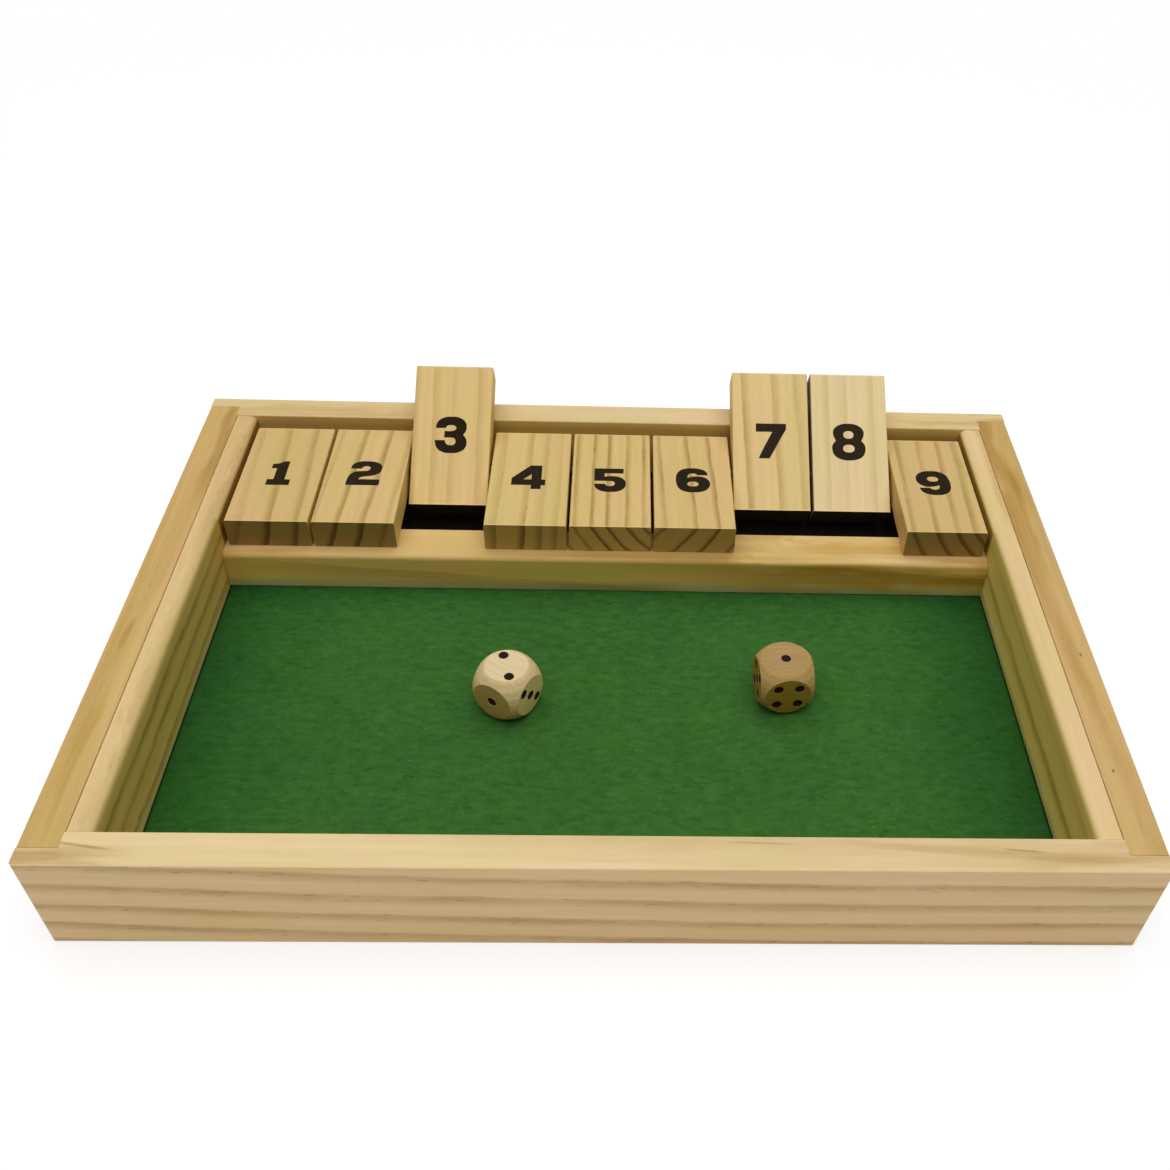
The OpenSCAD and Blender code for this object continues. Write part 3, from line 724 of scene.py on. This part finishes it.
# outlines in mm from the digit's middle; a third value of 1 marks a sharp corner
DIGITS = {
    1: [[(-3.5, 2.6, 1), (-3.45, 4.9, 1), (-1.9, 5.15), (-0.5, 5.9), (-0.25, 6.4, 1), (1.85, 6.4, 1),
         (1.85, -3.4, 1), (3.75, -3.4, 1), (3.75, -6.4, 1), (-3.75, -6.4, 1), (-3.75, -3.4, 1),
         (-1.7, -3.4, 1), (-1.7, 2.6, 1)]],
    2: [[(-4.9, 2.5, 1), (-4.6, 4.5), (-3.2, 6.0), (0.0, 6.6), (3.4, 5.95), (5.1, 4.2), (5.3, 2.4),
         (4.6, 0.1), (2.6, -1.2), (0.2, -1.75), (-1.3, -2.4), (-1.6, -3.3, 1), (5.4, -3.3, 1),
         (5.4, -6.4, 1), (-5.4, -6.4, 1), (-5.25, -3.2), (-4.6, -0.6), (-3.2, 0.75), (-0.9, 1.15),
         (0.9, 1.5), (1.5, 2.5), (1.1, 3.6), (0.1, 3.9), (-0.9, 3.55), (-1.4, 2.5, 1)]],
    3: [[(-5.1, 2.45, 1), (-4.5, 4.7), (-2.6, 6.2), (0.3, 6.65), (3.2, 6.15), (5.0, 4.5), (5.3, 2.6),
         (4.9, 1.1), (4.2, 0.1, 1), (5.1, -1.1), (5.5, -2.9), (4.9, -4.9), (3.0, -6.25), (0.2, -6.65),
         (-2.4, -6.3), (-4.4, -4.9), (-5.3, -2.0, 1), (-1.95, -2.0, 1), (-1.3, -3.35), (0.1, -3.8),
         (1.4, -3.4), (1.75, -2.3), (1.3, -1.3), (0.1, -1.0), (-2.1, -1.0, 1), (-2.1, 1.35, 1),
         (0.3, 1.4), (1.5, 1.8), (1.85, 2.6), (1.2, 3.4), (0.1, 3.6), (-1.2, 3.3), (-1.75, 2.45, 1)]],
    4: [[(0.4, 6.4, 1), (4.25, 6.4, 1), (4.25, -1.25, 1), (5.6, -1.25, 1), (5.6, -4.3, 1),
         (4.25, -4.3, 1), (4.25, -6.4, 1), (0.95, -6.4, 1), (0.95, -4.3, 1), (-5.6, -4.3, 1),
         (-5.6, -0.7, 1)],
        [(-1.7, -1.3, 1), (0.95, -1.3, 1), (0.95, 1.7, 1)]],
    5: [[(-5.15, 6.3, 1), (4.6, 6.3, 1), (4.6, 3.75, 1), (-1.65, 3.75, 1), (-1.75, 1.85, 1), (0.6, 2.15),
         (3.2, 1.7), (4.9, 0.1), (5.35, -2.0), (4.9, -4.1), (3.2, -5.8), (0.2, -6.4), (-2.6, -6.0),
         (-4.5, -4.4), (-5.15, -2.1, 1), (-1.6, -2.1, 1), (-1.1, -2.95), (0.1, -3.3), (1.3, -2.9),
         (1.75, -1.9), (1.3, -0.85), (0.0, -0.5), (-1.5, -0.5, 1), (-5.15, -0.5, 1)]],
    6: [[(5.2, 2.8, 1), (4.5, 4.9), (2.6, 6.2), (-0.1, 6.6), (-3.0, 6.0), (-4.9, 4.1), (-5.6, 1.0),
         (-5.5, -2.0), (-4.6, -4.7), (-2.7, -6.2), (0.0, -6.6), (2.9, -6.1), (4.9, -4.5), (5.7, -2.0),
         (5.1, 0.4), (3.4, 1.8), (1.3, 2.1), (-0.6, 1.7), (-1.7, 1.2, 1), (-1.65, 2.4), (-1.0, 3.4),
         (0.2, 3.75), (1.3, 3.3), (1.6, 2.8, 1)],
        [(-1.9, -2.1), (-1.4, -1.1), (0.0, -0.75), (1.4, -1.1), (1.85, -2.1), (1.4, -3.1), (0.0, -3.45),
         (-1.4, -3.1)]],
    7: [[(-5.2, 6.4, 1), (5.2, 6.4, 1), (5.15, 4.3, 1), (3.0, 0.5), (1.1, -3.1), (-0.65, -6.4, 1),
         (-4.4, -6.4, 1), (-2.4, -2.1), (0.45, 3.4, 1), (-5.2, 3.4, 1)]],
    8: [[(0.0, 6.75), (3.2, 6.15), (5.1, 4.4), (5.2, 2.4), (4.4, 0.45, 1), (5.5, -1.1), (5.7, -3.0),
         (4.8, -5.2), (2.8, -6.4), (0.0, -6.8), (-2.8, -6.4), (-4.8, -5.2), (-5.7, -3.0), (-5.5, -1.1),
         (-4.4, 0.45, 1), (-5.2, 2.4), (-5.1, 4.4), (-3.2, 6.15)],
        [(0.0, 4.05), (1.3, 3.65), (1.75, 2.65), (1.3, 1.6), (0.0, 1.2), (-1.3, 1.6), (-1.75, 2.65),
         (-1.3, 3.65)],
        [(0.0, -1.0), (1.5, -1.4), (2.0, -2.45), (1.5, -3.5), (0.0, -3.9), (-1.5, -3.5), (-2.0, -2.45),
         (-1.5, -1.4)]],
}
DIGITS[9] = [[(-p[0], -p[1], *p[2:]) for p in ring] for ring in DIGITS[6]]
# each tile was printed by hand: its digit sits a few tenths of a millimetre off the middle
PRINTED_AT = {1: (-0.25, -0.1), 2: (-0.05, 0.6), 3: (-0.3, -0.1), 4: (-0.25, 0.15), 5: (-0.5, -0.7),
              6: (0.05, 0.05), 7: (0.1, -0.1), 8: (-0.4, 0.1), 9: (-0.1, 0.95)}


def print_digit(n):
    """The ink film of one digit, as a flat filled curve turned to mesh, on both faces of tile n."""
    curve = bpy.data.curves.new(f"digit_{n}", "CURVE")
    curve.dimensions = "2D"
    curve.fill_mode = "BOTH"
    curve.resolution_u = 6
    curve.extrude = INK_FILM / 2 / MM
    for outline in DIGITS[n]:
        spline = curve.splines.new("BEZIER")
        spline.bezier_points.add(len(outline) - 1)
        spline.use_cyclic_u = True
        for point, spot in zip(spline.bezier_points, outline):
            corner = len(spot) == 3
            point.co = (spot[0] / MM, spot[1] / MM, 0)
            point.handle_left_type = "VECTOR" if corner else "AUTO"
            point.handle_right_type = "VECTOR" if corner else "AUTO"
    flat = bpy.data.objects.new(f"flat_{n}", curve)
    scene.collection.objects.link(flat)
    bpy.context.view_layer.update()
    film = bpy.data.meshes.new_from_object(flat.evaluated_get(bpy.context.evaluated_depsgraph_get()))
    bpy.data.objects.remove(flat)

    # from the rod: along the lying tile to the digit's middle, and up to its face; below it is turned over
    rod = Matrix.Translation(FLIPS[f"tile_{n}"]["pos_m"])
    turned = Matrix.Rotation(-raised_by(f"tile_{n}"), 4, "X")
    middle = TILE_MIDDLE / MM - rod.translation.y
    height = (HALF_THICK + INK_LIFT + INK_FILM / 2) / MM
    off_x, off_y = (v / MM for v in PRINTED_AT[n])
    upper = Matrix.Translation((off_x, middle + off_y, height))
    lower = Matrix.Translation((off_x, middle - off_y, -height)) @ Matrix.Rotation(math.pi, 4, "X")
    both = bmesh.new()
    for face in (upper, lower):
        copy = film.copy()
        copy.transform(rod @ turned @ face)
        both.from_mesh(copy)
    data = bpy.data.meshes.new(f"digit_{n}")
    both.to_mesh(data)
    both.free()
    piece = bpy.data.objects.new(f"digit_{n}", data)
    scene.collection.objects.link(piece)
    return piece


def printing_ink(name, full, thin):
    """Black pad-printing ink: a warm black film, nearly matt, thinner over the wood's pores."""
    made, tree = new_material(name)
    where = add(tree, "VectorMath", MULTIPLY, add(tree, "TexCoord", {}).outputs["Object"], (2600, 260, 2600))
    cover = add(tree, "TexNoise", {}, where, Scale=1.0, Detail=3.0)
    worn = add(tree, "MapRange", {}, cover, 0.4, 0.75, 0.0, 1.0)
    colour = add(tree, "Mix", RGBA, worn, linear(full), linear(thin))
    shine = add(tree, "MapRange", {}, cover, 0.3, 0.7, 0.55, 0.7)
    bump = add(tree, "Bump", {}, Strength=0.25, Distance=0.00004, Height=cover)
    surface = add(tree, "BsdfPrincipled", {}, Base_Color=colour, Roughness=shine, Specular_IOR_Level=0.05,
                  Normal=bump)
    add(tree, "OutputMaterial", {}, surface)
    return made


# tiles 7 and 8 stand raised towards the light, and their ink is painted lighter, as a painted sheen
ink = printing_ink("black_printing_ink", "#180f04", "#2d200d")
ink_with_painted_sheen = printing_ink("black_printing_ink_with_painted_sheen", "#20180c", "#382c1b")
for n in range(1, 10):
    digit = print_digit(n)
    digit.data.materials.append(ink_with_painted_sheen if n in (7, 8) else ink)
    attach(digit, f"tile_{n}")


# Dice: two 16 mm hardwood cubes, tumbled so that their corners are round, with drilled spots painted black.
# The left one is pale, the right one browner.
def dice_wood(name, die, yaw, ball, early, late, seed, x_faces, y_faces, corner, foot):
    """Fine-grained hardwood with short rays, and black paint wherever a drilled spot lies under the surface.

    The die is turned by yaw, and its corners lie on a ball with that diameter in mm. x_faces, y_faces, corner
    and foot paint light and shade onto the upright faces, the round corners and the lower half.
    """
    made, tree = new_material(name)
    low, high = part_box(die)
    centre = (low + high) / 2 * MM
    half = (high.z - low.z) / 2 * MM
    place = add(tree, "TexCoord", {})
    where = add(tree, "VectorMath", SCALE, place.outputs["Object"], Scale=MM)
    where = add(tree, "VectorMath", SUBTRACT, where, centre)
    where = add(tree, "VectorRotate", {"rotation_type": "Z_AXIS"}, where, Angle=-math.radians(yaw))
    grain = add(tree, "VectorMath", MULTIPLY, where, (0.12, 1.6, 1.6))
    grain = add(tree, "VectorMath", SUM, grain, (seed, seed, 0))
    fibres = add(tree, "TexNoise", {}, grain, Scale=1.0, Detail=3.0, Roughness=0.6)
    rings = add(tree, "TexWave", {"bands_direction": "Z"},
                add(tree, "VectorMath", MULTIPLY, where, (0.1, 0.35, 1.0)), Scale=0.16, Distortion=1.5,
                Detail=2.0, Detail_Scale=0.4)
    mix = add(tree, "Math", MULTIPLY_ADD, rings.outputs["Fac"], 0.35,
              add(tree, "MapRange", {}, fibres, 0.3, 0.7, 0.0, 0.65))
    colour = add(tree, "Mix", RGBA, mix, linear(early), linear(late))

    # paint lies wherever the surface is deeper than both the cube's faces and the ball
    sides = add(tree, "SeparateXYZ", {}, add(tree, "VectorMath", ABSOLUTE, where))
    far = add(tree, "Math", LARGER, sides.outputs["X"], sides.outputs["Y"])
    far = add(tree, "Math", LARGER, far, sides.outputs["Z"])
    under_face = add(tree, "Math", SUBTRACT, half, far)
    under_ball = add(tree, "Math", SUBTRACT, ball / 2, add(tree, "VectorMath", LENGTH, where))
    depth = add(tree, "Math", {"operation": "MINIMUM"}, under_face, under_ball)
    painted = add(tree, "MapRange", {}, depth, 0.03, 0.09, 0.0, 1.0)

    # painted light and shade: each pair of flat upright faces is painted lighter or darker and richer in tone
    # as the light falls on it, the turned corners are painted paler as a highlight, and the lower half is
    # painted darker as shade near the felt
    facing = add(tree, "VectorRotate", {"rotation_type": "Z_AXIS"}, place.outputs["Normal"],
                 Angle=-math.radians(yaw))
    facing = add(tree, "SeparateXYZ", {}, add(tree, "VectorMath", ABSOLUTE, facing))
    flat = add(tree, "Math", LARGER, facing.outputs["X"], facing.outputs["Y"])
    flat = add(tree, "Math", LARGER, flat, facing.outputs["Z"])
    turned = add(tree, "MapRange", {}, flat, 0.97, 0.9, 0.0, 1.0)
    lower = add(tree, "SeparateXYZ", {}, where).outputs["Z"]
    lower = add(tree, "MapRange", SMOOTH, lower, 4.0, -7.0, 0.0, 1.0)
    for part, tint in ((add(tree, "MapRange", {}, facing.outputs["X"], 0.9, 0.99, 0.0, 1.0), x_faces),
                       (add(tree, "MapRange", {}, facing.outputs["Y"], 0.9, 0.99, 0.0, 1.0), y_faces),
                       (turned, corner), (lower, foot)):
        colour = add(tree, "Mix", RGBA, part, colour, add(tree, "VectorMath", MULTIPLY, colour, tint))
    colour = add(tree, "Mix", RGBA, painted, colour, linear("#1c0f05"))
    shine = add(tree, "MapRange", {}, fibres, 0.3, 0.7, 0.5, 0.62)
    shine = add(tree, "Math", MULTIPLY_ADD, painted, 0.3, shine)
    bump = add(tree, "Bump", {}, Strength=0.3, Distance=0.00005, Height=fibres)
    surface = add(tree, "BsdfPrincipled", {}, Base_Color=colour, Roughness=shine, Specular_IOR_Level=0.15,
                  Normal=bump)
    add(tree, "OutputMaterial", {}, surface)
    return made


finish_with("die_left", dice_wood(
    "pale_hardwood", "die_left", -30.5, 20.4, "#decaa1", "#c9ae7b", 3.0, x_faces=(1.24, 1.32, 0.98),
    y_faces=(0.78, 0.72, 0.38), corner=(1.02, 1.0, 0.9), foot=(0.80, 0.76, 0.68)))
finish_with("die_right", dice_wood(
    "brown_hardwood", "die_right", 5.5, 21.0, "#af8f5e", "#917441", 8.0, x_faces=(0.92, 0.92, 0.36),
    y_faces=(1.0, 1.0, 0.36), corner=(1.30, 1.36, 1.22), foot=(0.76, 0.80, 0.80)))

bpy.context.view_layer.update()
